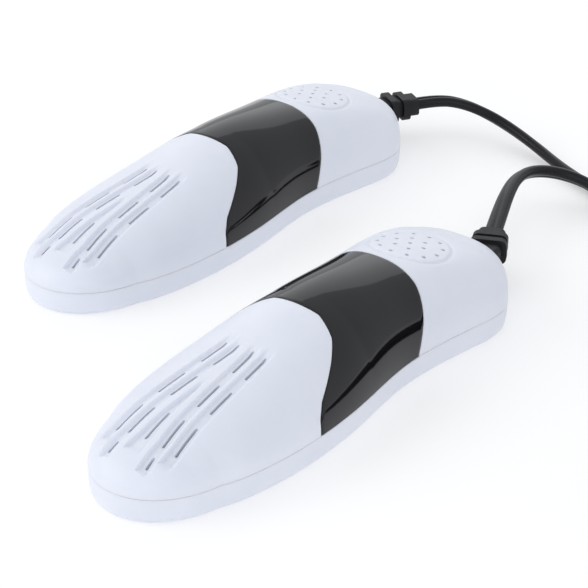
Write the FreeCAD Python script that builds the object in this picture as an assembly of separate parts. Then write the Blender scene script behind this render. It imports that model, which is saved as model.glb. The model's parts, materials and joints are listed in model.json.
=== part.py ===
"""Pair of electric boot dryers on one Y lead.

Millimetres, +Z up, toes toward -Y. The origin is on the floor, at the middle of the two
dryers' common box. Each dryer is modelled in its own frame (origin on the floor at the
middle of its length, toe toward -Y) and then set down where it lies.
"""
import FreeCAD, Part
import math
import os

V = FreeCAD.Vector
os.makedirs("parts", exist_ok=True)

# ---- driving dimensions of one dryer ------------------------------------------------
LENGTH = 178.0
SEAM_Z = 8.4              # height of the joint between the two half shells
SHELL_WALL = 2.6
BAND_THICK = 1.2
BAND_GAP = 0.1
GROOVE_DEPTH = 1.0
SOLE_DRAFT = 1.4          # how far the sole's lower edge stands in from the seam

# half width of the body at places along its length; the round ends then close it in
WIDTH_LINE = [(-67, 22.5), (-36, 27.4), (-6, 25.8), (20, 22.4), (47, 24.0), (69, 27.4)]
# height of the crown at places along its length
CROWN_LINE = [(-74, 21.0), (-53, 25.2), (-27, 29.4), (-2, 34.4), (24, 34.0), (50, 31.0),
              (72, 26.0)]
# length and fullness of the round ends: toe and heel, in plan and in side view
TOE_PLAN, HEEL_PLAN = (30.0, 2.1), (31.0, 1.9)
TOE_SIDE, HEEL_SIDE = (27.0, 2.0), (21.0, 1.9)
# roundness of the cross-section: 2 is an ellipse, more is boxier
ROUND_TOE, ROUND_WAIST, ROUND_HEEL = 2.2, 1.95, 2.6
SECTIONS = 16
TIP_FLAT = 0.25           # the loft stops this far short of the toe and heel tips

# saddle edges seen from the side: (place along the length, height)
BAND_FRONT = [(-8.5, 60), (-7.8, 36), (-6.4, 32.4), (-9.4, 28.2), (-14.6, 24.6), (-20.4, 21.0),
              (-25.8, 17.6), (-28.6, 13.6), (-29.0, 8.4)]
BAND_REAR = [(26.4, 8.4), (28.2, 14), (30.2, 19.4), (32.0, 24.8), (33.4, 28.6), (34.2, 34),
             (34.2, 60)]

# toe grooves, one side: (rear x, rear y, front x, front y, width at the rear, at the front)
GROOVES = [(7.0, -25.5, 11.5, -78.5, 2.8, 3.4), (2.5, -26.5, 7.2, -83.5, 2.8, 3.2)]
MIDDLE_GROOVE = [(0, -47), (1.2, -62), (2.8, -79.5), (-2.8, -79.5), (-1.2, -62)]
SLOT_WIDTH = 1.0
SLOT_ROWS = [(-30.2, -39.9), (-47.2, -57.0), (-63.9, -73.6)]
TIP_SLOT = (-78.0, -81.2)

VENT_Y = 51.0
VENT_HOLE_D = 1.4
VENT_RINGS = [(0.0, 1), (5.2, 6), (10.4, 12)]
VENT_BEAD_R = 13.4
VENT_BEAD_DEPTH, VENT_BEAD_HALF_W = 0.5, 0.6
VENT_CUT_Z = 18.0         # the vent holes are cut from here up
CLEAR_TOP = 45.0          # a height clear above the crown

GROMMET_X, GROMMET_Z = 3.5, 12.9
GROMMET_NECK = (10.4, 6.6)
FLANGE_Y = 80.6           # inner end of the grommet, behind the heel wall
OPENING_GAP = 0.15
CORD_TUBE_D = 5.0         # round tube with the section area of the flat 6.0 x 3.8 cord
CORD_Z = 2.6

SCREW_SPOTS = [(-12.0, -67.0), (12.0, -67.0), (-15.5, 60.0), (15.5, 60.0)]
BOSS_R = 3.6
SCREW_HOLE_R, SCREW_HOLE_DEPTH = 1.5, 7.5
HEAD_POCKET_R, HEAD_POCKET_Z = 3.0, 3.2

# where the two dryers lie: (x, y, yaw in degrees, grommet bend in degrees toward -X)
DRYERS = {"near": (49.0, -37.0, 0.0, 27.0), "far": (-49.0, 37.0, -0.5, -30.0)}


# ---- helpers ------------------------------------------------------------------------
def box(x0, x1, y0, y1, z0, z1):
    return Part.makeBox(x1 - x0, y1 - y0, z1 - z0, V(x0, y0, z0))


def cylinder(x, y, z0, z1, r):
    return Part.makeCylinder(r, z1 - z0, V(x, y, z0))


def fuse(shapes):
    whole = shapes[0].multiFuse(shapes[1:]) if len(shapes) > 1 else shapes[0]
    return whole.removeSplitter()


def line_through(table):
    """A smooth curve whose parameter is the place along the length."""
    curve = Part.BSplineCurve()
    points = [V(value, y, 0) for y, value in table]
    curve.interpolate(Points=points, Parameters=[float(y) for y, value in table])
    return curve


def line_value(curve, y):
    return curve.value(min(max(y, curve.FirstParameter), curve.LastParameter)).x


HALF = LENGTH / 2
width_curve = line_through(WIDTH_LINE)
crown_curve = line_through(CROWN_LINE)


def round_end(distance, end):
    """From 0 at the tip to 1 where the round end has run out."""
    length, power = end
    t = min(max(distance / length, 0.0), 1.0)
    return (1 - (1 - t) ** power) ** (1 / power)


def half_width(y):
    ends = round_end(HALF + y, TOE_PLAN) * round_end(HALF - y, HEEL_PLAN)
    return line_value(width_curve, y) * ends


def crown_height(y):
    ends = round_end(HALF + y, TOE_SIDE) * round_end(HALF - y, HEEL_SIDE)
    return SEAM_Z + (line_value(crown_curve, y) - SEAM_Z) * ends


def roundness(y):
    t = y / HALF
    if t < 0:
        return ROUND_WAIST + (ROUND_TOE - ROUND_WAIST) * min(1.0, -1.6 * t)
    return ROUND_WAIST + (ROUND_HEEL - ROUND_WAIST) * min(1.0, 1.8 * t)


def section(y, w, h, foot, power):
    """Closed wire of one cross-section: an arched line and its chord."""
    points = []
    steps = 12
    for i in range(steps + 1):
        a = math.pi * i / steps
        side = math.copysign(abs(math.cos(a)) ** (2 / power), -math.cos(a))
        rise = max(math.sin(a), 0.0) ** (2 / power)
        points.append(V(w * side, y, SEAM_Z + (h - SEAM_Z) * rise))
    if foot < SEAM_Z:
        points = [V(points[0].x, y, foot)] + points + [V(points[-1].x, y, foot)]
    arch = Part.BSplineCurve()
    arch.interpolate(Points=points, Parameters=[float(i) for i in range(len(points))])
    chord = Part.LineSegment(points[-1], points[0])
    return Part.Wire([arch.toShape(), chord.toShape()])


def dome(inset, foot=SEAM_Z):
    """The upper body, everywhere `inset` smaller, with its flat underside at `foot`."""
    wires = []
    scale = (HALF - inset) / HALF
    for i in range(SECTIONS + 1):
        y = -(HALF - TIP_FLAT) * math.cos(math.pi * i / SECTIONS)
        full_w, full_h = half_width(y), crown_height(y)
        w = max(full_w - inset, 0.6 * full_w)
        h = max(full_h - inset, SEAM_Z + 0.6 * (full_h - SEAM_Z))
        wires.append(section(y * scale, w, h, foot, roundness(y)))
    return Part.makeLoft(wires, True, False)


def plan_wire(inset, z):
    """The plan outline, `inset` smaller, as one closed wire."""
    scale = (HALF - inset) / HALF
    right = []
    for i in range(1, 24):
        y = -HALF * math.cos(math.pi * i / 24)
        right.append(V(half_width(y) - inset, y * scale, z))
    left = [V(-p.x, p.y, z) for p in reversed(right)]
    points = [V(0, -HALF * scale, z)] + right + [V(0, HALF * scale, z)] + left
    outline = Part.BSplineCurve()
    outline.interpolate(Points=points, PeriodicFlag=True)
    return Part.Wire([outline.toShape()])


def side_prism(front, rear, grow):
    """A block across the body whose front and rear faces follow two side-view lines."""
    lines = []
    for points, shift in ((front, -grow), (rear, grow)):
        lines.append([V(-60, y + shift, z) for y, z in points])
    a = Part.BSplineCurve()
    a.interpolate(lines[0])
    b = Part.BSplineCurve()
    b.interpolate(lines[1])
    top = Part.LineSegment(lines[1][-1], lines[0][0])
    foot = Part.LineSegment(lines[0][-1], lines[1][0])
    face = Part.Face(Part.Wire([a.toShape(), foot.toShape(), b.toShape(), top.toShape()]))
    return face.extrude(V(120, 0, 0))


def flat_prism(outline, z0, z1):
    points = [V(x, y, z0) for x, y in outline]
    return Part.Face(Part.makePolygon(points + [points[0]])).extrude(V(0, 0, z1 - z0))


def strip(x0, y0, x1, y1, w0, w1):
    """Plan outline of a straight groove that widens from w0 to w1."""
    length = math.hypot(x1 - x0, y1 - y0)
    nx, ny = -(y1 - y0) / length, (x1 - x0) / length
    return [(x0 + nx * w0 / 2, y0 + ny * w0 / 2), (x1 + nx * w1 / 2, y1 + ny * w1 / 2),
            (x1 - nx * w1 / 2, y1 - ny * w1 / 2), (x0 - nx * w0 / 2, y0 - ny * w0 / 2)]


def groove_x(groove, y):
    x0, y0, x1, y1 = groove[:4]
    return x0 + (x1 - x0) * (y - y0) / (y1 - y0)


def corner_radii(points):
    """Largest tangent arc at each inner point of a route."""
    radii = []
    for a, b, c in zip(points, points[1:], points[2:]):
        before, after = b - a, c - b
        turn = before.getAngle(after)
        radii.append(0.45 * min(before.Length, after.Length) / math.tan(turn / 2))
    return radii


def cord_tube(name, points, diameter):
    """A round tube along straight runs joined by tangent arcs."""
    radii = corner_radii(points)
    edges = []
    here = points[0]
    for a, b, c, r in zip(points, points[1:], points[2:], radii):
        before = (b - a).normalize()
        after = (c - b).normalize()
        reach = r * math.tan(before.getAngle(after) / 2)
        start, stop = b - before * reach, b + after * reach
        inward = (after - before).normalize()
        centre_gap = math.hypot(r, reach)
        middle = b + inward * (centre_gap - r)
        edges.append(Part.LineSegment(here, start).toShape())
        edges.append(Part.Arc(start, middle, stop).toShape())
        here = stop
    edges.append(Part.LineSegment(here, points[-1]).toShape())
    path = Part.Wire(edges)
    ring = Part.Wire(Part.makeCircle(diameter / 2, points[0], points[1] - points[0]))
    tube = path.makePipeShell([ring], True, False)
    ideal = math.pi * diameter ** 2 / 4 * path.Length
    print(name, "length", round(path.Length, 1), "volume ratio", round(tube.Volume / ideal, 4),
          "radii", [round(r) for r in radii])
    return tube


# ---- the dryer's shells ---------------------------------------------------------------
outer_dome = dome(0.0)
band_zone = side_prism(BAND_FRONT, BAND_REAR, 0.0)


def toe_grooves():
    prisms = [flat_prism(MIDDLE_GROOVE, SEAM_Z, CLEAR_TOP)]
    for groove in GROOVES:
        x0, y0, x1, y1, w0, w1 = groove
        for side in (1, -1):
            plan = strip(side * x0, y0, side * x1, y1, w0, w1)
            prisms.append(flat_prism(plan, SEAM_Z, CLEAR_TOP))
    skin = outer_dome.cut(dome(GROOVE_DEPTH, SEAM_Z - 3))
    return Part.Compound([skin.common(p) for p in prisms])


def toe_slots():
    front, rear = SLOT_ROWS[2][1], SLOT_ROWS[2][0]
    slots = [box(-SLOT_WIDTH / 2, SLOT_WIDTH / 2, front, rear, SEAM_Z + 1, CLEAR_TOP)]
    for groove in GROOVES:
        rows = list(SLOT_ROWS)
        if groove is GROOVES[1]:
            rows.append(TIP_SLOT)
        for y0, y1 in rows:
            for side in (1, -1):
                xa, xb = side * groove_x(groove, y0), side * groove_x(groove, y1)
                plan = strip(xa, y0, xb, y1, SLOT_WIDTH, SLOT_WIDTH)
                slots.append(flat_prism(plan, SEAM_Z + 1, CLEAR_TOP))
    return Part.Compound(slots)


def heel_vents():
    holes = []
    for radius, count in VENT_RINGS:
        for i in range(count):
            a = 2 * math.pi * i / count
            x, y = radius * math.cos(a), VENT_Y + radius * math.sin(a)
            holes.append(cylinder(x, y, VENT_CUT_Z, CLEAR_TOP, VENT_HOLE_D / 2))
    return Part.Compound(holes)


def vent_bead():
    """The shallow ring groove round the heel vents."""
    skin = outer_dome.cut(dome(VENT_BEAD_DEPTH, SEAM_Z - 3))
    outer, inner = VENT_BEAD_R + VENT_BEAD_HALF_W, VENT_BEAD_R - VENT_BEAD_HALF_W
    skin = skin.common(cylinder(0, VENT_Y, VENT_CUT_Z, CLEAR_TOP, outer))
    return skin.cut(cylinder(0, VENT_Y, VENT_CUT_Z, CLEAR_TOP, inner))


def upper_shell():
    shell = outer_dome.cut(dome(SHELL_WALL, SEAM_Z - 3))
    recess = band_zone.common(outer_dome).cut(dome(BAND_THICK + BAND_GAP, SEAM_Z - 3))
    shell = shell.cut(recess)
    shell = shell.cut(toe_grooves())
    shell = shell.cut(Part.Compound([toe_slots(), heel_vents()]))
    shell = shell.cut(vent_bead())
    inside = dome(SHELL_WALL - 0.4, SEAM_Z - 3)
    for x, y in SCREW_SPOTS:
        post = cylinder(x, y, SEAM_Z + 0.2, CLEAR_TOP, BOSS_R).common(inside)
        hole = cylinder(x, y, SEAM_Z - 1, SEAM_Z + SCREW_HOLE_DEPTH, SCREW_HOLE_R)
        shell = shell.fuse(post.cut(hole))
    w, h = GROMMET_NECK[0] / 2 + OPENING_GAP, GROMMET_NECK[1] / 2 + OPENING_GAP
    opening = box(GROMMET_X - w, GROMMET_X + w, 78, 95, GROMMET_Z - h, GROMMET_Z + h)
    return shell.cut(opening)


def band_cover():
    zone = side_prism(BAND_FRONT, BAND_REAR, -0.15)
    above_seam = box(-60, 60, -60, 60, SEAM_Z + 0.15, 60)
    return outer_dome.common(zone).common(above_seam).cut(dome(BAND_THICK, SEAM_Z - 3))


def sole_shell():
    wires = [plan_wire(SOLE_DRAFT, 0.0), plan_wire(0.25, 1.7), plan_wire(0.0, SEAM_Z)]
    body = Part.makeLoft(wires, True, True)
    pocket = Part.Face(plan_wire(SHELL_WALL, 2.0)).extrude(V(0, 0, SEAM_Z))
    posts = [cylinder(x, y, 1.5, SEAM_Z, BOSS_R) for x, y in SCREW_SPOTS]
    posts += [cylinder(x, y, 1.5, 6.0, 3.0) for x, y in CLAMP_SPOTS]
    body = fuse([body.cut(pocket)] + posts)
    for x, y in SCREW_SPOTS:
        body = body.cut(cylinder(x, y, -1, SEAM_Z + 1, SCREW_HOLE_R + 0.1))
        body = body.cut(cylinder(x, y, -1, HEAD_POCKET_Z, HEAD_POCKET_R))
    for x, y in CLAMP_SPOTS:
        body = body.cut(cylinder(x, y, 2.4, 7, 1.1))
    return body


# ---- inside the dryer -------------------------------------------------------------------
HEATER_Y0, HEATER_Y1 = -56.0, -22.0
HEATER_HALF_W = 11.0
HEATER_Z0 = 6.6
FIN_H = 4.4
STONE_H = 2.4
FIN_COUNT, FIN_THICK, FIN_PLATE = 13, 0.5, 0.8
CLAMP_SPOTS = [(-8.5, 66.0), (8.5, 66.0)]
BLOCK_Y0, BLOCK_Y1 = 8.0, 24.0
WIRE_X = 3.8
CORD_IN_Z = 9.0


def heater_fins():
    """Two aluminium blocks of thin fins, one above and one below the stones."""
    blocks = []
    lower = HEATER_Z0
    upper = HEATER_Z0 + FIN_H + STONE_H
    pitch = (HEATER_Y1 - HEATER_Y0 - 0.6 - FIN_THICK) / (FIN_COUNT - 1)
    for z0, plate_z in ((lower, lower + FIN_H - FIN_PLATE), (upper, upper)):
        pieces = [box(-HEATER_HALF_W, HEATER_HALF_W, HEATER_Y0, HEATER_Y1, plate_z,
                      plate_z + FIN_PLATE)]
        for i in range(FIN_COUNT):
            y = HEATER_Y0 + 0.3 + i * pitch
            pieces.append(box(-HEATER_HALF_W, HEATER_HALF_W, y, y + FIN_THICK, z0, z0 + FIN_H))
        blocks.append(fuse(pieces))
    return Part.Compound(blocks)


def ptc_stones():
    z0 = HEATER_Z0 + FIN_H
    stones = [box(-8.5, 8.5, y, y + 9.6, z0, z0 + STONE_H) for y in (-54.0, -43.8, -33.6)]
    return Part.Compound(stones)


def heater_bracket():
    """Two heat-proof cheeks joined by rails, standing on the sole."""
    top = HEATER_Z0 + 2 * FIN_H + STONE_H
    pieces = []
    for y0, y1 in ((HEATER_Y0 - 2.2, HEATER_Y0 - 0.2), (HEATER_Y1 + 0.2, HEATER_Y1 + 2.2)):
        pieces.append(box(-HEATER_HALF_W, HEATER_HALF_W, y0, y1, 2.1, top - 2.0))
    for side in (-1, 1):
        x0, x1 = sorted((side * (HEATER_HALF_W + 0.2), side * (HEATER_HALF_W + 1.8)))
        pieces.append(box(x0, x1, HEATER_Y0 - 2.2, HEATER_Y1 + 2.2, HEATER_Z0, HEATER_Z0 + 5))
        x0, x1 = sorted((side * (HEATER_HALF_W - 1.5), side * (HEATER_HALF_W + 1.8)))
        for y0, y1 in ((HEATER_Y0 - 2.2, HEATER_Y0 - 0.2), (HEATER_Y1 + 0.2, HEATER_Y1 + 2.2)):
            pieces.append(box(x0, x1, y0, y1, HEATER_Z0, HEATER_Z0 + 5))
    return fuse(pieces)


def heat_shield():
    """Folded sheet under the heater, lifted off the sole on four dimples."""
    sheet = 0.5
    y0, y1 = HEATER_Y0 + 1, HEATER_Y1 - 1
    pieces = [box(-10.5, 10.5, y0, y1, 4.0, 4.0 + sheet)]
    for side in (-1, 1):
        x0, x1 = sorted((side * 10.0, side * 10.5))
        pieces.append(box(x0, x1, y0, y1, 4.0, 6.2))
        for y in (y0 + 4, y1 - 4):
            pieces.append(cylinder(side * 8, y, 2.05, 4.2, 1.5))
    return fuse(pieces)


def thermal_cutout():
    body = box(-7.5, 7.5, -17.0, -10.6, 5.5, 9.3)
    tabs = [box(x - 1.2, x + 1.2, -10.6, -6.5, 7.2, 7.7) for x in (-WIRE_X, WIRE_X)]
    return fuse([body] + tabs)


def terminal_block():
    pieces = [box(-8.5, 8.5, BLOCK_Y0, BLOCK_Y1, 3.6, 5.2)]
    for x in (-WIRE_X, WIRE_X):
        pieces.append(box(x - 3.2, x + 3.2, BLOCK_Y0 + 1, BLOCK_Y1 - 1, 5.2, 12.4))
    pieces += [cylinder(x, 16, 2.05, 4.0, 1.6) for x in (-6.5, 6.5)]
    block = fuse(pieces)
    for x in (-WIRE_X, WIRE_X):
        channel = Part.makeCylinder(1.5, 18, V(x, BLOCK_Y0 - 1, CORD_IN_Z), V(0, 1, 0))
        block = block.cut(channel)
        for y in (12.0, 20.0):
            block = block.cut(cylinder(x, y, CORD_IN_Z, 13, 1.45))
    return block


def terminal_screws():
    screws = []
    for x in (-WIRE_X, WIRE_X):
        for y in (12.0, 20.0):
            screw = cylinder(x, y, 10.6, 12.9, 1.3)
            screws.append(screw.cut(box(x - 1.4, x + 1.4, y - 0.25, y + 0.25, 12.3, 13)))
    return Part.Compound(screws)


def inner_wires():
    """Lead tail from the grommet to the block, and two cores on to cut-out and heater."""
    tail_points = [V(GROMMET_X, FLANGE_Y, GROMMET_Z), V(2.4, 71.5, 10.6), V(0, 60, CORD_IN_Z),
                   V(0, 46, 8.6), V(0, 33, CORD_IN_Z)]
    pieces = [cord_tube("lead tail", tail_points, 3.8)]
    for side in (-1, 1):
        x = side * WIRE_X
        core = [V(side * 1.6, 32.8, CORD_IN_Z), V(side * 2.4, 27.5, 9.2), V(x, 20.5, CORD_IN_Z)]
        pieces.append(cord_tube("core", core, 1.8))
        ahead = [V(x, 11.5, CORD_IN_Z), V(x, 2, 9.2), V(x, -6.2, 8.7)]
        pieces.append(cord_tube("core", ahead, 1.8))
        heat = [V(side * 5.0, -17.2, 7.4), V(side * 5.6, -18.2, 8.4), V(side * 5.4, -19.4, 10.0)]
        pieces.append(cord_tube("core", heat, 1.8))
    return Part.Compound(pieces)


def cord_clamp():
    bar = box(-12, 12, 62.5, 69.5, 6.0, 8.2)
    saddle = box(-5.2, 5.2, 62.5, 69.5, 6.0, 14.4)
    clamp = fuse([bar, saddle])
    tunnel = Part.makeCylinder(2.5, 30, V(3.96, 79, 11.64), V(-2.4, -11.5, -1.6).normalize())
    clamp = clamp.cut(tunnel)
    for x, y in CLAMP_SPOTS:
        clamp = clamp.cut(cylinder(x, y, 5, 9, 1.2))
    return clamp


def screw(x, y, head_z, tip_z, head_r, head_h, shank_r):
    """A pan-head screw; the head stands beyond head_z, away from the tip."""
    up = 1 if head_z > tip_z else -1
    shank = cylinder(x, y, min(head_z, tip_z), max(head_z, tip_z), shank_r)
    ends = sorted((head_z, head_z + up * head_h))
    head = cylinder(x, y, ends[0], ends[1], head_r)
    z = ends[1] if up > 0 else ends[0]
    cross = fuse([box(x - 1.4, x + 1.4, y - 0.3, y + 0.3, z - 0.7, z + 0.7),
                  box(x - 0.3, x + 0.3, y - 1.4, y + 1.4, z - 0.7, z + 0.7)])
    return fuse([shank, head]).cut(cross)


def clamp_screws():
    return Part.Compound([screw(x, y, 8.2, 2.6, 2.0, 1.4, 1.0) for x, y in CLAMP_SPOTS])


def sole_screws():
    screws = [screw(x, y, HEAD_POCKET_Z, 14.4, 2.8, 1.9, 1.4) for x, y in SCREW_SPOTS]
    return Part.Compound(screws)


# ---- grommet ---------------------------------------------------------------------------
NECK_END = 90.5
RIBS = [(0.6, 2.6, 12.6, 8.8), (5.4, 2.8, 12.0, 8.2)]     # start, length, width, height
GROMMET_REACH = 12.2


def rounded_bar(width, height, length, radius):
    """A bar along +Y with rounded long edges, centred on the axis."""
    bar = box(-width / 2, width / 2, 0, length, -height / 2, height / 2)
    long_edges = [e for e in bar.Edges if abs(e.tangentAt(e.FirstParameter).y) > 0.9]
    return bar.makeFillet(radius, long_edges)


def cord_grommet(bend):
    """Neck through the heel wall, then the ribbed sleeve, bent sideways with the lead."""
    w, h = GROMMET_NECK
    flange = rounded_bar(w + 3, h + 2.4, 1.6, 2.0)
    flange.translate(V(0, FLANGE_Y, 0))
    neck = rounded_bar(w, h, NECK_END - FLANGE_Y, 1.6)
    neck.translate(V(0, FLANGE_Y, 0))
    sleeve = [rounded_bar(w - 1.2, h, GROMMET_REACH + 1.5, 2.0)]
    sleeve[0].translate(V(0, -1.5, 0))
    for start, length, width, height in RIBS:
        rib = rounded_bar(width, height, length, 2.4)
        rib.translate(V(0, start, 0))
        sleeve.append(rib)
    outside = fuse(sleeve)
    outside.rotate(V(0, 0, 0), V(0, 0, 1), bend)
    outside.translate(V(0, NECK_END, 0))
    whole = fuse([flange, neck, outside])
    whole.translate(V(GROMMET_X, 0, GROMMET_Z))
    return whole


def grommet_exit(bend):
    a = math.radians(bend)
    return V(GROMMET_X - math.sin(a) * GROMMET_REACH, NECK_END + math.cos(a) * GROMMET_REACH,
             GROMMET_Z)


def set_down(shape, name):
    x, y, yaw = DRYERS[name][:3]
    placed = shape.copy()
    placed.rotate(V(0, 0, 0), V(0, 0, 1), yaw)
    placed.translate(V(x, y, 0))
    return placed


# ---- the Y lead, in the pair's own frame ---------------------------------------------
NEAR_ROUTE = [(41.2, 77, 14.2), (35.8, 89.5, 15.6), (31.4, 101.5, 15.8), (30.4, 112, 14.8),
              (34.6, 120.9, 12.8), (43.2, 126.3, 10.2), (53.6, 126.6, 7.4), (65.2, 125.2, 4.8),
              (77.6, 122.6, 2.8)]
FAR_ROUTE = [(-32.5, 145.6, 13.8), (-24.2, 150.4, 12.8), (-14.2, 153.2, 10), (-3, 153.4, 6.8),
             (8.8, 150.9, 4.2), (20.8, 146.2, CORD_Z), (34, 140.2, CORD_Z),
             (47.8, 135.2, CORD_Z), (62, 132, CORD_Z), (77, 129.6, CORD_Z)]
SPLIT_HEADING = -15.0           # degrees from +X
SPLIT_START = V(91.5, 123.0, 0)
SPLIT_LENGTH, SPLIT_WIDTH, SPLIT_HEIGHT = 27.0, 16.0, 7.6
LEAD_PITCH = 7.6
MAIN_ROUTE = [(131.5, 113.6), (144.5, 113.2), (157, 114.2)]
COIL_CENTRE = V(157.0, 72.2, 0)
COIL_R = 36.0                   # middle of the turns
COIL_WIDTH, COIL_HEIGHT = 18.6, 11.4
TAIL_ROUTE = [(199, 74, 8.2), (199.2, 61.5, 7.8), (196, 49.5, 7.2), (188.5, 39, 6.8)]
PLUG_AT, PLUG_TURN = V(183.0, 6.0, 0), 180.0
PLUG_OUTLINE = [(-6, 0), (-6.6, 10), (-17.6, 24), (-17.6, 36), (17.6, 36), (17.6, 24),
                (6.6, 10), (6, 0)]
PLUG_HEIGHT = 13.6
RELIEF_LENGTH = 22.0
PIN_D, PIN_LENGTH, PIN_PITCH = 4.0, 19.0, 18.6


def splitter_point(along, across, z):
    a = math.radians(SPLIT_HEADING)
    return SPLIT_START + V(along * math.cos(a) - across * math.sin(a),
                           along * math.sin(a) + across * math.cos(a), z)


def main_exit():
    return splitter_point(SPLIT_LENGTH, 0, CORD_Z)


def y_splitter():
    body = box(0, SPLIT_LENGTH, -SPLIT_WIDTH / 2, SPLIT_WIDTH / 2, 0, SPLIT_HEIGHT)
    upright = [e for e in body.Edges if abs(e.tangentAt(e.FirstParameter).z) > 0.9]
    far_end = [e for e in upright if e.CenterOfMass.x > SPLIT_LENGTH / 2]
    body = body.makeFillet(5.0, far_end)
    rims = [e for e in body.Edges if abs(e.BoundBox.ZMax - SPLIT_HEIGHT) < 0.01
            and e.BoundBox.ZLength < 0.01]
    body = body.makeFillet(1.8, rims)
    body.rotate(V(0, 0, 0), V(0, 0, 1), SPLIT_HEADING)
    body.translate(SPLIT_START)
    return body


def lead_points(name, route, across):
    start = grommet_exit(DRYERS[name][3])
    x, y, yaw = DRYERS[name][:3]
    start = FreeCAD.Rotation(V(0, 0, 1), yaw).multVec(start) + V(x, y, 0)
    return [start] + [V(*p) for p in route] + [splitter_point(0, across, CORD_Z)]


def main_cord():
    points = [main_exit()] + [V(x, y, CORD_Z) for x, y in MAIN_ROUTE]
    return cord_tube("main cord", points, CORD_TUBE_D)


def cord_coil():
    outer = cylinder(COIL_CENTRE.x, COIL_CENTRE.y, 0, COIL_HEIGHT, COIL_R + COIL_WIDTH / 2)
    return outer.cut(cylinder(COIL_CENTRE.x, COIL_CENTRE.y, -1, 20, COIL_R - COIL_WIDTH / 2))


def cord_tie():
    """A flat strap once round the coil's turns."""
    x0 = COIL_CENTRE.x - COIL_R - COIL_WIDTH / 2
    y = COIL_CENTRE.y
    outer = box(x0 - 1.3, x0 + COIL_WIDTH + 1.3, y - 3.5, y + 3.5, 0, COIL_HEIGHT + 1.3)
    return outer.cut(box(x0 - 0.2, x0 + COIL_WIDTH + 0.2, y - 4, y + 4, -1, COIL_HEIGHT + 0.2))


def plug_place(shape):
    shape.rotate(V(0, 0, 0), V(0, 0, 1), PLUG_TURN)
    shape.translate(PLUG_AT)
    return shape


def plug_body():
    """Flat two-pin plug lying on its side, with its tapered strain relief."""
    body = flat_prism(PLUG_OUTLINE, 0, PLUG_HEIGHT)
    body = body.makeFillet(2.0, [e for e in body.Edges if e.Length > PLUG_HEIGHT / 2])
    middle = V(0, 1.5, PLUG_HEIGHT / 2)
    relief = Part.makeCone(5.2, 3.7, RELIEF_LENGTH + 1.5, middle, V(0, -1, 0))
    return plug_place(body.fuse(relief))


def plug_pins():
    pins = []
    for side in (-1, 1):
        at = V(side * PIN_PITCH / 2, 36, PLUG_HEIGHT / 2)
        pin = Part.makeCylinder(PIN_D / 2, PIN_LENGTH, at, V(0, 1, 0))
        tip = [e for e in pin.Edges if abs(e.CenterOfMass.y - 36 - PIN_LENGTH) < 0.01]
        pins.append(pin.makeChamfer(0.8, tip))
    return plug_place(Part.Compound(pins))


def plug_tail():
    """The last of the cord, from the coil's upper turn to the plug's strain relief."""
    end = plug_place(Part.Vertex(V(0, -RELIEF_LENGTH, PLUG_HEIGHT / 2))).Point
    return cord_tube("plug tail", [V(*p) for p in TAIL_ROUTE] + [end], CORD_TUBE_D)


def write(name, shape):
    if not shape.isValid():
        print("NOT VALID", name)
    shape.exportStep("parts/" + name + ".step")
    print(name, "solids", len(shape.Solids), "volume", round(shape.Volume))


PIECES = {
    "sole_shell": sole_shell, "upper_shell": upper_shell, "band_cover": band_cover,
    "heater_fins": heater_fins, "ptc_stones": ptc_stones, "heater_bracket": heater_bracket,
    "heat_shield": heat_shield, "thermal_cutout": thermal_cutout,
    "terminal_block": terminal_block, "terminal_screws": terminal_screws,
    "inner_wires": inner_wires, "cord_clamp": cord_clamp, "clamp_screws": clamp_screws,
    "sole_screws": sole_screws,
}
for piece, make in PIECES.items():
    shape = make()
    for dryer in DRYERS:
        write(dryer + "_" + piece, set_down(shape, dryer))
for dryer, route, side in (("near", NEAR_ROUTE, -1), ("far", FAR_ROUTE, 1)):
    bend = DRYERS[dryer][3]
    write(dryer + "_cord_grommet", set_down(cord_grommet(bend), dryer))
    points = lead_points(dryer, route, side * LEAD_PITCH / 2)
    write(dryer + "_lead", cord_tube(dryer + " lead", points, CORD_TUBE_D))
write("y_splitter", y_splitter())
write("main_cord", main_cord())
write("cord_coil", cord_coil())
write("cord_tie", cord_tie())
write("plug_tail", plug_tail())
write("plug_body", plug_body())
write("plug_pins", plug_pins())
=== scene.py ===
"""A pair of white boot dryers on one black Y lead: looks, light and camera."""

import json
import math

import bpy
import numpy as np
from mathutils import Matrix, Vector


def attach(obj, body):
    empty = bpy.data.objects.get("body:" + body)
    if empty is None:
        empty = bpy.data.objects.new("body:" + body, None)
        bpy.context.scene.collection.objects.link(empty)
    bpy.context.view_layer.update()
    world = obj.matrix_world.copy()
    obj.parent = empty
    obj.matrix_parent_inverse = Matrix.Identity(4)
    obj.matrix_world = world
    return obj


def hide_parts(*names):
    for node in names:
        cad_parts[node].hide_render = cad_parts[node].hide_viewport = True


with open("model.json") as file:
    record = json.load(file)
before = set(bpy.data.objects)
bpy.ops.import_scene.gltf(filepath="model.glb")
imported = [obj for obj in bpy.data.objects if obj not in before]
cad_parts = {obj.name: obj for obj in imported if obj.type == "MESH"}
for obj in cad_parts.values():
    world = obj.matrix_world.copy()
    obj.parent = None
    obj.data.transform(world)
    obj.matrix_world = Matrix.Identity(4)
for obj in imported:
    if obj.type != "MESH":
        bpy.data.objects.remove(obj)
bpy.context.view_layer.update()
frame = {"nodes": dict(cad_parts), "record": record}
nodes = frame["nodes"]
MM = 0.001

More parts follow.
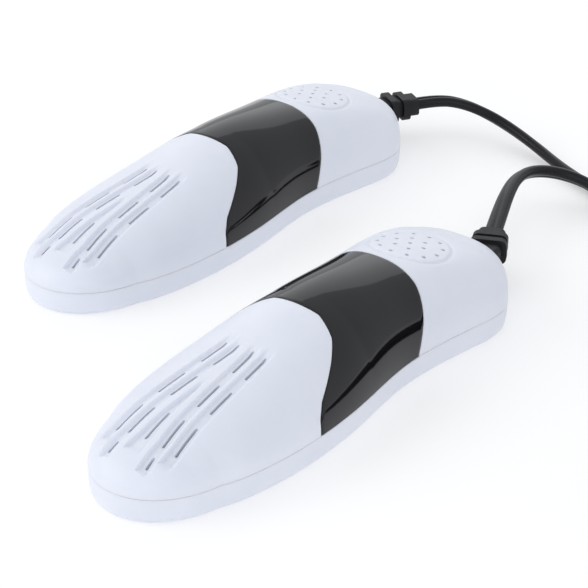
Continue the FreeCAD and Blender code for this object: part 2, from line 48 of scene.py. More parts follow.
# ---- the dryer's form, in millimetres ------------------------------------------------------
# As in the CAD part, but for three things drawn finer or softer here: the toe slots are 0.85
# wide (CAD 1.0), the heel's ring is a soft dip 0.4 deep (CAD 0.5), and edges are rounded.
HALF = 89.0
SEAM_Z = 8.4
WALL = 2.6
WIDTH_LINE = [(-67, 22.5), (-36, 27.4), (-6, 25.8), (20, 22.4), (47, 24.0), (69, 27.4)]
CROWN_LINE = [(-74, 21.0), (-53, 25.2), (-27, 29.4), (-2, 34.4), (24, 34.0), (50, 31.0),
              (72, 26.0)]
TOE_PLAN, HEEL_PLAN = (30.0, 2.1), (31.0, 1.9)
TOE_SIDE, HEEL_SIDE = (27.0, 2.0), (21.0, 1.9)
ROUND_TOE, ROUND_WAIST, ROUND_HEEL = 2.2, 1.95, 2.6
BAND_FRONT = [(-29.0, 8.4), (-28.6, 13.6), (-25.8, 17.6), (-20.4, 21.0), (-14.6, 24.6),
              (-9.4, 28.2), (-6.4, 32.4), (-7.8, 36), (-8.5, 60)]
BAND_REAR = [(26.4, 8.4), (28.2, 14), (30.2, 19.4), (32.0, 24.8), (33.4, 28.6), (34.2, 34),
             (34.2, 60)]
BAND_THICK = 1.2
RECESS = 1.3
GROOVES = [(7.0, -25.5, 11.5, -78.5, 2.8, 3.4), (2.5, -26.5, 7.2, -83.5, 2.8, 3.2)]
MIDDLE_GROOVE = (-47.0, -79.5, 5.6)          # rear end, front end, width at the front end
GROOVE_DEPTH = 1.0
GROOVE_EDGE = 0.4              # half width of a groove's rounded edge
SLOT_ROWS = [(-30.2, -39.9), (-47.2, -57.0), (-63.9, -73.6)]
TIP_SLOT = (-78.0, -81.2)
SLOT_WIDTH = 0.85
VENT_Y = 51.0
VENT_RINGS = [(0.0, 1), (5.2, 6), (10.4, 12)]
VENT_R = 0.7
BEAD_R, BEAD_DEPTH, BEAD_HALF_W = 13.4, 0.4, 0.55
SLOT_CUT_Z, VENT_CUT_Z, CLEAR_TOP = 10.0, 18.0, 45.0      # where cuts start, and end in the air
BOSS_R, SHANK_R, HEAD_R, HEAD_POCKET_Z = 3.6, 1.6, 3.0, 3.2
SCREW_SPOTS = [(-12.0, -67.0), (12.0, -67.0), (-15.5, 60.0), (15.5, 60.0)]
GROMMET_X, GROMMET_Z = 3.5, 12.9
OPENING_HALF_W, OPENING_HALF_H = 5.35, 3.45               # of the grommet's hole in the heel
DRYERS = {"near": (49.0, -37.0, 0.0), "far": (-49.0, 37.0, -0.5)}      # x, y, turn


def smooth_line(table):
    """Smooth cubic through (y, value) pairs, held level past its ends."""
    y, v = np.array(table, float).T
    ends = [np.polyder(np.poly1d(np.polyfit(y[s], v[s], 3)))(y[at])
            for s, at in ((slice(0, 4), 0), (slice(-4, None), -1))]
    h = np.diff(y)
    n = len(y)
    matrix = np.zeros((n, n))
    matrix[0, 0] = matrix[-1, -1] = 1.0
    right = np.zeros(n)
    right[0], right[-1] = ends
    for i in range(1, n - 1):
        matrix[i, i - 1:i + 2] = 1 / h[i - 1], 2 / h[i - 1] + 2 / h[i], 1 / h[i]
        right[i] = 3 * ((v[i] - v[i - 1]) / h[i - 1] ** 2 + (v[i + 1] - v[i]) / h[i] ** 2)
    slope = np.linalg.solve(matrix, right)

    def value(at):
        at = np.clip(at, y[0], y[-1])
        i = np.clip(np.searchsorted(y, at) - 1, 0, n - 2)
        t = (at - y[i]) / h[i]
        return ((1 + 2 * t) * (1 - t) ** 2 * v[i] + t * (1 - t) ** 2 * h[i] * slope[i]
                + t * t * (3 - 2 * t) * v[i + 1] - t * t * (1 - t) * h[i] * slope[i + 1])

    return value


width_line = smooth_line(WIDTH_LINE)
crown_line = smooth_line(CROWN_LINE)


def round_end(distance, end):
    length, power = end
    t = np.clip(distance / length, 0, 1)
    return (1 - (1 - t) ** power) ** (1 / power)


def half_width(y):
    return width_line(y) * round_end(HALF + y, TOE_PLAN) * round_end(HALF - y, HEEL_PLAN)


def crown_height(y):
    ends = round_end(HALF + y, TOE_SIDE) * round_end(HALF - y, HEEL_SIDE)
    return SEAM_Z + (crown_line(y) - SEAM_Z) * ends


def roundness(y):
    t = y / HALF
    toe = ROUND_WAIST + (ROUND_TOE - ROUND_WAIST) * np.minimum(1, -1.6 * t)
    heel = ROUND_WAIST + (ROUND_HEEL - ROUND_WAIST) * np.minimum(1, 1.8 * t)
    return np.where(t < 0, toe, heel)


def skin(y, angle, inset, lift=0.16):
    """Points of the upper body, `inset` under its surface. Angle runs from rim to rim."""
    y, angle, inset = np.broadcast_arrays(y, angle, inset)
    full_w, full_h = half_width(y), crown_height(y)
    w = np.maximum(full_w - inset, 0.6 * full_w)
    h = np.maximum(full_h - inset, SEAM_Z + 0.6 * (full_h - SEAM_Z))
    power = roundness(y)
    side = -np.sign(np.cos(angle)) * np.abs(np.cos(angle)) ** (2 / power)
    rise = np.clip(np.sin(angle), 0, 1) ** (2 / power)
    foot = lift * np.minimum(1, (h - SEAM_Z) / 3)
    z = SEAM_Z + foot + (h - SEAM_Z - foot) * rise
    return np.stack([w * side, y * (HALF - inset) / HALF, z], -1)


def soft_step(t):
    t = np.clip(t, 0, 1)
    return t * t * (3 - 2 * t)


def groove_depth(points):
    """How far the toe grooves and the heel's ring go into the surface at each point."""
    x, y = np.abs(points[..., 0]), points[..., 1]
    depth = np.zeros_like(x)
    for x0, y0, x1, y1, w0, w1 in GROOVES:
        t = np.clip((y - y0) / (y1 - y0), 0, 1)
        off = np.abs(x - x0 - (x1 - x0) * t) - (w0 + (w1 - w0) * t) / 2
        along = soft_step((y0 - y) / 7) * soft_step((y - y1) / 1.2 + 0.5)
        depth = np.maximum(depth, soft_step(0.5 - off / (2 * GROOVE_EDGE)) * along)
    y0, y1, width = MIDDLE_GROOVE
    t = np.clip((y - y0) / (y1 - y0), 0, 1)
    off = x - (0.3 + (width / 2 - 0.3) * t ** 1.3)
    along = soft_step((y0 - y) / 7) * soft_step((y - y1) / 1.2 + 0.5)
    depth = np.maximum(depth, soft_step(0.5 - off / (2 * GROOVE_EDGE)) * along)
    ring = np.hypot(x, y - VENT_Y) - BEAD_R
    bead = BEAD_DEPTH * np.exp(-(ring / BEAD_HALF_W) ** 2)
    return GROOVE_DEPTH * depth + bead


# ---- meshes -----------------------------------------------------------------------------
def new_object(name, points, faces, sharp=38):
    """A mesh object from points in millimetres."""
    mesh = bpy.data.meshes.new(name)
    mesh.from_pydata((np.asarray(points) * MM).tolist(), [], faces)
    mesh.validate()
    mesh.shade_smooth()
    mesh.set_sharp_from_angle(angle=math.radians(sharp))
    made = bpy.data.objects.new(name, mesh)
    bpy.context.scene.collection.objects.link(made)
    return made


def grid_faces(rows, columns, first=0, flip=False):
    faces = []
    for i in range(rows - 1):
        for j in range(columns - 1):
            a = first + i * columns + j
            quad = (a, a + 1, a + columns + 1, a + columns)
            faces.append(quad[::-1] if flip else quad)
    return faces


def flip_if_inside_out(made):
    """Turns the faces outward by the sign of the enclosed volume."""
    mesh = made.data
    mesh.calc_loop_triangles()
    co = np.array([v.co for v in mesh.vertices])
    tri = np.array([t.vertices for t in mesh.loop_triangles])
    a, b, c = co[tri[:, 0]], co[tri[:, 1]], co[tri[:, 2]]
    if np.einsum("ij,ij->", a, np.cross(b, c)) < 0:
        mesh.flip_normals()
    return made


def closed_skin(name, outer, inner, tips):
    """Outer and inner grids with the same rows, joined along both rims and at both ends.
    With tips, four points close the ends: outer and inner toe, outer and inner heel."""
    rows, oc, ic = outer.shape[0], outer.shape[1], inner.shape[1]
    points = np.concatenate([outer.reshape(-1, 3), inner.reshape(-1, 3)])
    base = rows * oc
    faces = grid_faces(rows, oc) + grid_faces(rows, ic, base, flip=True)
    for i in range(rows - 1):
        a, b = i * oc, base + i * ic
        faces.append((a, a + oc, b + ic, b))
        a, b = a + oc - 1, b + ic - 1
        faces.append((a, b, b + ic, a + oc))
    for end, row in ((0, 0), (1, rows - 1)):
        a, b = row * oc, base + row * ic
        if tips is None:
            for j in range(oc - 1):
                quad = (a + j, a + j + 1, b + j + 1, b + j)
                faces.append(quad if end else quad[::-1])
            continue
        out, into = len(points) + 2 * end, len(points) + 2 * end + 1
        for j in range(oc - 1):
            three = (out, a + j + 1, a + j)
            faces.append(three[::-1] if end else three)
        for j in range(ic - 1):
            three = (into, b + j, b + j + 1)
            faces.append(three[::-1] if end else three)
        left, right = (out, a, b, into), (out, into, b + ic - 1, a + oc - 1)
        faces += [left[::-1], right[::-1]] if end else [left, right]
    if tips is not None:
        points = np.concatenate([points, tips])
    return flip_if_inside_out(new_object(name, points, faces))


def arch_angles(count):
    """Angles from rim to rim, closer together over the top."""
    c = np.linspace(-1, 1, count)
    return math.pi / 2 * (1 + 0.66 * c + 0.34 * c ** 3)


def edge_line(table, angles):
    """Where the band's edge, given in side view, crosses each line of the skin."""
    edge_y, edge_z = np.array(table, float).T
    y = np.full_like(angles, edge_y.mean())
    for _ in range(40):
        z = skin(y, angles, 0.0)[..., 2]
        y = 0.5 * y + 0.5 * np.interp(z, edge_z, edge_y)
    kernel = np.array([0.1, 0.2, 0.4, 0.2, 0.1])
    return np.convolve(np.pad(y, 2, mode="edge"), kernel, mode="valid")


def drawn_rows(length, round_part, round_count, rest_count):
    """Row places from a tip, 0 to 1: closer and closer towards the tip."""
    tip = round_part * np.linspace(0, 1, round_count) ** 2
    rest = np.linspace(round_part, length, rest_count)
    return np.concatenate([tip, rest[1:]]) / length


def upper_rows(angles):
    """(y, inset) of every row along the upper shell, for each angle."""
    front, rear = edge_line(BAND_FRONT, angles), edge_line(BAND_REAR, angles)
    toe = drawn_rows(80, 12, 20, 116)[1:-1]
    heel = drawn_rows(55, 14, 22, 84)[1:-1]
    rows = [(-HALF + (front + HALF) * t, None) for t in toe]
    rows += [(front - 0.25, 0.0), (front - 0.02, 0.22), (front, RECESS)]
    rows += [(front + (rear - front) * t, RECESS) for t in np.linspace(0.1, 0.9, 9)]
    rows += [(rear, RECESS), (rear + 0.02, 0.22), (rear + 0.25, 0.0)]
    rows += [(HALF - (HALF - rear) * t, None) for t in heel[::-1]]
    return rows


def upper_shell():
    angles = arch_angles(190)
    outer = []
    for y, inset in upper_rows(angles):
        if inset is None:
            inset = groove_depth(skin(y, angles, 0.0))
        row = skin(y, angles, inset)
        lip = skin(y[[0, -1]], angles[[0, -1]], 0.12, lift=0.04)
        outer.append(np.concatenate([lip[:1], row, lip[1:]]))
    outer = np.array(outer)
    inner_angles = np.linspace(0, math.pi, 40)
    scale = (HALF - WALL) / HALF
    inner = np.array([skin(row[:, 1].mean() * np.ones(40), inner_angles, WALL, lift=0.0)
                      for row in outer])
    tips = [(0, -HALF, SEAM_Z + 0.04), (0, -HALF * scale, SEAM_Z), (0, HALF, SEAM_Z + 0.04),
            (0, HALF * scale, SEAM_Z)]
    return closed_skin("upper_shell", outer, inner, np.array(tips, float))


def prism(outline, z0, z1):
    """Points and faces of an upright prism."""
    n = len(outline)
    points = [(x, y, z0) for x, y in outline] + [(x, y, z1) for x, y in outline]
    faces = [tuple(reversed(range(n))), tuple(range(n, 2 * n))]
    faces += [(i, (i + 1) % n, n + (i + 1) % n, n + i) for i in range(n)]
    return points, faces


def round_outline(x, y, r, count=20):
    turn = np.linspace(0, 2 * math.pi, count, endpoint=False)
    return [(x + r * math.cos(a), y + r * math.sin(a)) for a in turn]


def slot_outline(x0, y0, x1, y1, width):
    """A slot with round ends between two points."""
    heading = math.atan2(y1 - y0, x1 - x0)
    r = width / 2
    ends = []
    for (x, y), start in (((x1, y1), heading - math.pi / 2), ((x0, y0), heading + math.pi / 2)):
        ends += [(x + r * math.cos(start + a), y + r * math.sin(start + a))
                 for a in np.linspace(0, math.pi, 9)]
    return ends


def joined(name, parts):
    points, faces = [], []
    for p, f in parts:
        faces += [tuple(i + len(points) for i in face) for face in f]
        points += p
    return new_object(name, points, faces)


def carve(made, tools, operation="DIFFERENCE"):
    """Cuts the tools from a mesh, or adds them to it, and removes them."""
    step = made.modifiers.new("carve", "BOOLEAN")
    step.operation = operation
    step.object = tools
    step.solver = "MANIFOLD"
    graph = bpy.context.evaluated_depsgraph_get()
    mesh = bpy.data.meshes.new_from_object(made.evaluated_get(graph))
    made.modifiers.clear()
    made.data = mesh
    mesh.shade_smooth()
    mesh.set_sharp_from_angle(angle=math.radians(38))
    bpy.data.objects.remove(tools)
    return made


def groove_x(groove, y):
    x0, y0, x1, y1 = groove[:4]
    return x0 + (x1 - x0) * (y - y0) / (y1 - y0)


def shell_openings():
    """Toe slots, heel vents and the lead's way out."""
    front_row = SLOT_ROWS[2]
    parts = [prism(slot_outline(0, front_row[0], 0, front_row[1], SLOT_WIDTH), SLOT_CUT_Z,
                   CLEAR_TOP)]
    for groove in GROOVES:
        rows = SLOT_ROWS + ([TIP_SLOT] if groove is GROOVES[1] else [])
        for y0, y1 in rows:
            for side in (1, -1):
                ends = (side * groove_x(groove, y0), y0, side * groove_x(groove, y1), y1)
                parts.append(prism(slot_outline(*ends, SLOT_WIDTH), SLOT_CUT_Z, CLEAR_TOP))
    for radius, count in VENT_RINGS:
        for i in range(count):
            a = 2 * math.pi * i / count
            at = (radius * math.cos(a), VENT_Y + radius * math.sin(a))
            parts.append(prism(round_outline(*at, VENT_R), VENT_CUT_Z, CLEAR_TOP))
    x0, x1 = GROMMET_X - OPENING_HALF_W, GROMMET_X + OPENING_HALF_W
    parts.append(prism([(x0, 78), (x1, 78), (x1, 95), (x0, 95)],
                       GROMMET_Z - OPENING_HALF_H, GROMMET_Z + OPENING_HALF_H))
    return joined("shell_openings", parts)


def band_cover():
    """The glossy saddle: a skin with rounded front and rear edges."""
    angles = np.linspace(0, math.pi, 150)
    front, rear = edge_line(BAND_FRONT, angles), edge_line(BAND_REAR, angles)
    turn = [(0.14, BAND_THICK), (0.14, 0.45), (0.2, 0.2), (0.33, 0.06), (0.55, 0.0)]
    rows = [(front + gap, inset) for gap, inset in turn]
    rows += [(front + (rear - front) * t, 0.0) for t in np.linspace(0.03, 0.97, 60)]
    rows += [(rear - gap, inset) for gap, inset in reversed(turn)]
    outer = np.array([skin(y, angles, inset, lift=0.25) for y, inset in rows])
    inner = np.array([skin(y, angles, BAND_THICK, lift=0.25) for y, _ in rows])
    return closed_skin("band_cover", outer[1:-1], inner[1:-1], None)


def sole_shell():
    """A tray with a soft lower edge and a bevelled rim, swept round the plan outline."""
    y = -HALF * np.cos(np.linspace(0, math.pi, 121))
    levels = [(0.0, 2.3), (0.12, 1.6), (0.45, 1.0), (1.0, 0.6), (1.8, 0.3), (3.2, 0.12),
              (5.5, 0.03), (SEAM_Z - 0.3, 0.0), (SEAM_Z - 0.1, 0.03), (SEAM_Z - 0.03, 0.12),
              (SEAM_Z - 0.03, WALL), (2.0, WALL)]
    points = []
    for z, inset in levels:
        w = np.maximum(half_width(y) - inset, 0.6 * half_width(y))
        along = y * (HALF - inset) / HALF
        right = np.stack([w, along, np.full_like(y, z)], -1)
        left = np.stack([-w, along, np.full_like(y, z)], -1)[1:-1][::-1]
        points.append(np.concatenate([right, left]))
    count = len(points[0])
    faces = []
    for level in range(len(levels) - 1):
        for i in range(count):
            a, b = level * count + i, level * count + (i + 1) % count
            faces.append((a, b, b + count, a + count))
    faces.append(tuple(reversed(range(count))))
    last = (len(levels) - 1) * count
    faces.append(tuple(range(last, last + count)))
    tray = flip_if_inside_out(new_object("sole_shell", np.concatenate(points), faces))
    posts = [prism(round_outline(x, y, BOSS_R, 32), 1.5, SEAM_Z - 0.1) for x, y in SCREW_SPOTS]
    carve(tray, joined("posts", posts), "UNION")
    holes = [prism(round_outline(x, y, HEAD_R, 32), -1, HEAD_POCKET_Z) for x, y in SCREW_SPOTS]
    carve(tray, joined("counterbores", holes))
    shanks = [prism(round_outline(x, y, SHANK_R, 24), 2, 12) for x, y in SCREW_SPOTS]
    return carve(tray, joined("shanks", shanks))


# ---- materials ---------------------------------------------------------------------------
CLOUD_SCALE = 60.0             # slow colour clouds, in waves per metre
GRAIN_HEIGHT = 0.0001          # metres


def node_material(name):
    material = bpy.data.materials.new(name)
    material.use_nodes = True
    tree = material.node_tree
    return material, tree, tree.nodes["Principled BSDF"]


def noise(tree, scale, detail=3.0):
    """Noise fixed to the object's own coordinates; scale is in waves per metre."""
    where = tree.nodes.new("ShaderNodeTexCoord")
    texture = tree.nodes.new("ShaderNodeTexNoise")
    texture.inputs["Scale"].default_value = scale
    texture.inputs["Detail"].default_value = detail
    tree.links.new(where.outputs["Object"], texture.inputs["Vector"])
    return texture.outputs["Fac"]


def mapped(tree, value, low, high):
    """A factor from about 0.3 to 0.7 stretched to the range low to high."""
    step = tree.nodes.new("ShaderNodeMapRange")
    step.inputs["From Min"].default_value = 0.3
    step.inputs["From Max"].default_value = 0.7
    step.inputs["To Min"].default_value = low
    step.inputs["To Max"].default_value = high
    tree.links.new(value, step.inputs["Value"])
    return step.outputs["Result"]


def two_tone(tree, value, first, second):
    ramp = tree.nodes.new("ShaderNodeValToRGB")
    ramp.color_ramp.elements[0].position = 0.3
    ramp.color_ramp.elements[1].position = 0.7
    ramp.color_ramp.elements[0].color = (*first, 1)
    ramp.color_ramp.elements[1].color = (*second, 1)
    tree.links.new(value, ramp.inputs["Fac"])
    return ramp.outputs["Color"]


def bumped(tree, value, strength, distance):
    bump = tree.nodes.new("ShaderNodeBump")
    bump.inputs["Strength"].default_value = strength
    bump.inputs["Distance"].default_value = distance
    tree.links.new(value, bump.inputs["Height"])
    return bump.outputs["Normal"]


def moulded(name, first, second, rough, grain, bump, metallic=0.0, glow=0.0, gloss=0.5):
    """Plain moulded or pressed stuff: slow colour clouds, uneven gloss and a fine grain."""
    material, tree, shader = node_material(name)
    clouds = noise(tree, CLOUD_SCALE)
    tree.links.new(two_tone(tree, clouds, first, second), shader.inputs["Base Color"])
    grains = noise(tree, grain, 2.0)
    tree.links.new(mapped(tree, grains, *rough), shader.inputs["Roughness"])
    tree.links.new(bumped(tree, grains, bump, GRAIN_HEIGHT), shader.inputs["Normal"])
    shader.inputs["Metallic"].default_value = metallic
    shader.inputs["Specular IOR Level"].default_value = gloss
    if glow:
        shader.inputs["Subsurface Weight"].default_value = glow
        shader.inputs["Subsurface Radius"].default_value = (1.0, 1.0, 1.1)
        shader.inputs["Subsurface Scale"].default_value = 0.002
    return material


MATERIALS = {
    "white_shell": moulded("white_shell", (0.735, 0.76, 0.85), (0.765, 0.79, 0.88),
                           (0.36, 0.46), 2600, 0.06, glow=0.35),
    "black_gloss": moulded("black_gloss", (0.004, 0.004, 0.005), (0.007, 0.007, 0.009),
                           (0.05, 0.09), 900, 0.010, gloss=0.42),
    "black_rubber": moulded("black_rubber", (0.008, 0.008, 0.010), (0.015, 0.015, 0.017),
                            (0.42, 0.58), 3200, 0.22, gloss=0.25),
    "cord_pvc": moulded("cord_pvc", (0.006, 0.006, 0.008), (0.011, 0.011, 0.013),
                        (0.26, 0.36), 1800, 0.06, gloss=0.22),
    "aluminium": moulded("aluminium", (0.62, 0.63, 0.65), (0.74, 0.75, 0.77), (0.28, 0.42),
                         2400, 0.10, metallic=1.0),
    "ceramic": moulded("ceramic", (0.34, 0.31, 0.28), (0.44, 0.40, 0.36), (0.6, 0.75),
                       2800, 0.25),
    "heatproof_plastic": moulded("heatproof_plastic", (0.10, 0.085, 0.07),
                                 (0.14, 0.12, 0.10), (0.42, 0.55), 2000, 0.12),
    "shield_sheet": moulded("shield_sheet", (0.55, 0.56, 0.57), (0.66, 0.67, 0.68),
                            (0.22, 0.36), 1500, 0.06, metallic=1.0),
    "cutout_metal": moulded("cutout_metal", (0.48, 0.49, 0.51), (0.60, 0.61, 0.62),
                            (0.25, 0.38), 2200, 0.08, metallic=1.0),
    "block_plastic": moulded("block_plastic", (0.58, 0.57, 0.53), (0.66, 0.65, 0.60),
                             (0.4, 0.52), 1800, 0.10),
    "screw_steel": moulded("screw_steel", (0.45, 0.45, 0.46), (0.58, 0.58, 0.59),
                           (0.24, 0.36), 2600, 0.08, metallic=1.0),
    "wire_sleeve": moulded("wire_sleeve", (0.50, 0.09, 0.05), (0.60, 0.12, 0.07),
                           (0.38, 0.5), 1600, 0.08),
    "pin_metal": moulded("pin_metal", (0.66, 0.66, 0.65), (0.78, 0.78, 0.77), (0.16, 0.28),
                         1800, 0.05, metallic=1.0),
}
slot_of = {part["node"]: part["material_slot"] for part in frame["record"]["subparts"]}


def dress(made, slot):
    made.data.materials.clear()
    made.data.materials.append(MATERIALS[slot])


for name, node in nodes.items():
    dress(node, slot_of[name])


# ---- camera --------------------------------------------------------------------------------
AZIMUTH, ELEVATION, ROLL = (math.radians(a) for a in (38.437, 28.379, 0.566))
back = Vector((math.sin(AZIMUTH) * math.cos(ELEVATION), -math.cos(AZIMUTH) * math.cos(ELEVATION),
               math.sin(ELEVATION)))
level_right = Vector((math.cos(AZIMUTH), math.sin(AZIMUTH), 0))
level_up = back.cross(level_right)
right = level_right * math.cos(ROLL) + level_up * math.sin(ROLL)
up = level_up * math.cos(ROLL) - level_right * math.sin(ROLL)
lens = bpy.data.cameras.new("camera")
lens.lens = 135.4
lens.sensor_width = 36.0
lens.shift_y = 0.0021
lens.clip_start, lens.clip_end = 0.02, 20.0
camera = bpy.data.objects.new("camera", lens)
bpy.context.scene.collection.objects.link(camera)
camera.matrix_world = Matrix.Translation((0.4072, -0.4961, 0.3478)) @ Matrix(
    (right, up, back)).transposed().to_4x4()
bpy.context.scene.camera = camera


# ---- the dryers ----------------------------------------------------------------------------
def place(dryer):
    x, y, yaw = DRYERS[dryer]
    return Matrix.Translation((x * MM, y * MM, 0)) @ Matrix.Rotation(math.radians(yaw), 4, "Z")


def stand_for(made, node, dryer):
    """Puts one dryer's copy of a piece in place, on its body, instead of its CAD node."""
    copy = bpy.data.objects.new(dryer + "_" + node + "_looks", made.data)
    bpy.context.scene.collection.objects.link(copy)
    copy.matrix_world = place(dryer)
    name = dryer + "_" + node
    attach(copy, "pair")
    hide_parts(name)


for node, make in (("upper_shell", lambda: carve(upper_shell(), shell_openings())),
                   ("band_cover", band_cover), ("sole_shell", sole_shell)):
    made = make()
    dress(made, slot_of["near_" + node])
    for dryer in DRYERS:
        stand_for(made, node, dryer)
    bpy.data.objects.remove(made)

# ---- the Y lead ------------------------------------------------------------------------------
CORD_Z = 2.6
CORD_WIDTH, CORD_THICK = 6.0, 3.8
NEAR_ROUTE = [(41.2, 77, 14.2), (35.8, 89.5, 15.6), (31.4, 101.5, 15.8), (30.4, 112, 14.8),
              (34.6, 120.9, 12.8), (43.2, 126.3, 10.2), (53.6, 126.6, 7.4), (65.2, 125.2, 4.8),
              (77.6, 122.6, 2.8)]
FAR_ROUTE = [(-32.5, 145.6, 13.8), (-24.2, 150.4, 12.8), (-14.2, 153.2, 10), (-3, 153.4, 6.8),
             (8.8, 150.9, 4.2), (20.8, 146.2, CORD_Z), (34, 140.2, CORD_Z),
             (47.8, 135.2, CORD_Z), (62, 132, CORD_Z), (77, 129.6, CORD_Z)]
NEAR_ENDS = (46.96, 64.37, 12.9), (90.52, 119.33, CORD_Z)     # grommet, splitter
FAR_ENDS = (-38.52, 137.98, 12.9), (92.48, 126.67, CORD_Z)     # grommet, splitter
MAIN_START = (117.58, 116.01, CORD_Z)
MAIN_ROUTE = [(131.5, 113.6, CORD_Z), (144.5, 113.2, CORD_Z)]
COIL_CENTRE = (157.0, 72.2)
COIL_OUTER_R, COIL_STEP_IN, COIL_STEP_UP = 42.2, 12.0, 5.5     # outer turn, two turns in, up
COIL_TURNS, POINTS_PER_TURN = 4.25, 18
SPLINE_SHRINK = 1.012          # a spline runs this much inside its ring of control points
TAIL_ROUTE = [(199, 74, 8.2), (199.2, 61.5, 7.8), (196, 49.5, 7.2), (188.5, 39, 6.8)]
PLUG_RELIEF = (183.0, 28.0, 6.8)
LAYING_ROLL = 40.0             # a flat lead lies tilted on one rounded edge
CREASE_DEPTH = CREASE_HALF_W = 0.42
NEAREST_POINTS = 0.0004        # metres; closer points on a cord's line are dropped


def coil_turns():
    """Two turns inward on the floor, a climb, and two turns outward on top."""
    turns = []
    for i in range(1, round(COIL_TURNS * POINTS_PER_TURN)):
        t = i / POINTS_PER_TURN
        inward = min(t / 2.0, 1.0)
        outward = min(max((t - 2.35) / 1.9, 0.0), 1.0)
        r = (COIL_OUTER_R + COIL_STEP_IN * (outward - inward)) * SPLINE_SHRINK
        climb = min(max((t - 2.0) / 0.35, 0.0), 1.0)
        z = CORD_Z + COIL_STEP_UP * climb * climb * (3 - 2 * climb)
        a = math.radians(90 - 360 * t)
        turns.append((COIL_CENTRE[0] + r * math.cos(a), COIL_CENTRE[1] + r * math.sin(a), z))
    return turns


def follow(points):
    """Points read along a smooth spline with the route as its control points."""
    curve = bpy.data.curves.new("route", "CURVE")
    curve.dimensions = "3D"
    spline = curve.splines.new("NURBS")
    spline.points.add(len(points) - 1)
    for control, point in zip(spline.points, points):
        control.co = (*(c * MM for c in point), 1)
    spline.order_u = 3
    spline.use_endpoint_u = True
    spline.resolution_u = 10
    helper = bpy.data.objects.new("route", curve)
    bpy.context.scene.collection.objects.link(helper)
    graph = bpy.context.evaluated_depsgraph_get()
    mesh = bpy.data.meshes.new_from_object(helper.evaluated_get(graph))
    line = [v.co.copy() for v in mesh.vertices]
    bpy.data.objects.remove(helper)
    kept = [line[0]]
    for p in line[1:]:
        if (p - kept[-1]).length > NEAREST_POINTS:
            kept.append(p)
    return np.array(kept) / MM


def cord_section():
    """Outline of the flat twin lead: round edges and a shallow crease along each face."""
    r = CORD_THICK / 2
    half = CORD_WIDTH / 2 - r
    flat = np.linspace(half, -half, 9)[1:-1]
    crease = r - CREASE_DEPTH * np.exp(-(flat / CREASE_HALF_W) ** 2)
    arc = np.linspace(-math.pi / 2, math.pi / 2, 13)
    right_arc = np.stack([half + r * np.cos(arc), r * np.sin(arc)], -1)
    top = np.stack([flat, crease], -1)
    return np.concatenate([right_arc, top, -right_arc, -top])


def flat_cord(name, line):
    """A mesh tube of the flat lead along a line, lying tilted but level at both ends."""
    step = np.diff(line, axis=0)
    tangent = np.gradient(line, axis=0)
    tangent /= np.linalg.norm(tangent, axis=1)[:, None]
    run = np.concatenate([[0], np.cumsum(np.linalg.norm(step, axis=1))])
    ends = soft_step(run / 40) * soft_step((run[-1] - run) / 25)
    roll = np.radians(LAYING_ROLL) * ends[:, None]
    level = np.cross(tangent, (0, 0, 1.0))
    level /= np.linalg.norm(level, axis=1)[:, None]
    upright = np.cross(level, tangent)
    wide = level * np.cos(roll) + upright * np.sin(roll)
    thin = np.cross(wide, tangent)
    outline = cord_section()
    points = (line[:, None] + wide[:, None] * outline[None, :, :1]
              + thin[:, None] * outline[None, :, 1:])
    rows, count = len(line), len(outline)
    faces = []
    for i in range(rows - 1):
        for j in range(count):
            a, b = i * count + j, i * count + (j + 1) % count
            faces.append((a, b, b + count, a + count))
    faces.append(tuple(reversed(range(count))))
    faces.append(tuple(range((rows - 1) * count, rows * count)))
    made = flip_if_inside_out(new_object(name, points.reshape(-1, 3), faces, sharp=60))
    dress(made, "cord_pvc")
    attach(made, "pair")
    return made, run[-1] * MM


def lay_cord(name, points, stands_for):
    line = follow(points)
    made, length = flat_cord(name, line)
    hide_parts(*stands_for)
    print(name, "length", round(length, 4))


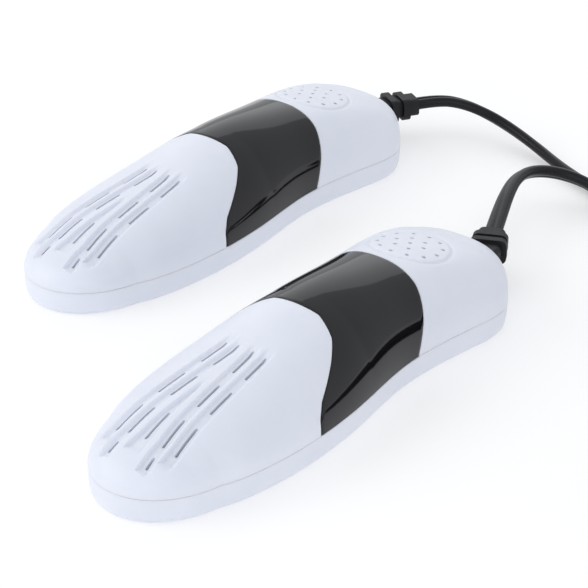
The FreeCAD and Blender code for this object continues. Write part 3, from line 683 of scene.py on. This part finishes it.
lay_cord("near_lead_looks", [NEAR_ENDS[0]] + NEAR_ROUTE + [NEAR_ENDS[1]], ["near_lead"])
lay_cord("far_lead_looks", [FAR_ENDS[0]] + FAR_ROUTE + [FAR_ENDS[1]], ["far_lead"])
main_points = [MAIN_START] + MAIN_ROUTE + coil_turns() + TAIL_ROUTE + [PLUG_RELIEF]
lay_cord("main_cord_looks", main_points, ["main_cord", "cord_coil", "plug_tail"])


# ---- floor and light --------------------------------------------------------------------------
def floor():
    """A plain white floor with a faint glow of its own, so that only close shadows show."""
    s = 6.0
    mesh = bpy.data.meshes.new("floor")
    mesh.from_pydata([(-s, -s, 0), (s, -s, 0), (s, s, 0), (-s, s, 0)], [], [(0, 1, 2, 3)])
    made = bpy.data.objects.new("floor", mesh)
    bpy.context.scene.collection.objects.link(made)
    material, tree, shader = node_material("floor")
    tone = two_tone(tree, noise(tree, 3.0), (0.62, 0.62, 0.625), (0.64, 0.64, 0.645))
    tree.links.new(tone, shader.inputs["Base Color"])
    shader.inputs["Roughness"].default_value = 0.9
    shader.inputs["Specular IOR Level"].default_value = 0.0
    shader.inputs["Emission Color"].default_value = (1, 1, 1, 1)
    shader.inputs["Emission Strength"].default_value = 0.4
    mesh.materials.append(material)


def soft_box(name, at, size, power, colour):
    """A large soft light aimed at the middle of the object."""
    light = bpy.data.lights.new(name, "AREA")
    light.shape = "RECTANGLE"
    light.size, light.size_y = size
    light.energy = power
    light.color = colour
    made = bpy.data.objects.new(name, light)
    bpy.context.scene.collection.objects.link(made)
    made.location = at
    made.rotation_euler = (-Vector(at)).to_track_quat("-Z", "Y").to_euler()


floor()
soft_box("key", (-1.0, -0.95, 0.8), (1.1, 0.9), 6.0, (1.0, 0.99, 0.98))
soft_box("fill", (1.0, -1.4, 0.9), (1.6, 1.2), 4.5, (0.97, 0.98, 1.0))
soft_box("rear", (-1.4, 1.8, 1.3), (3.0, 1.6), 9.0, (0.97, 0.98, 1.0))
world = bpy.data.worlds.new("studio")
world.use_nodes = True
sky = world.node_tree.nodes["Background"]
sky.inputs["Color"].default_value = (0.96, 0.98, 1.0, 1)
sky.inputs["Strength"].default_value = 0.81
bpy.context.scene.world = world
bpy.context.scene.view_settings.view_transform = "Standard"
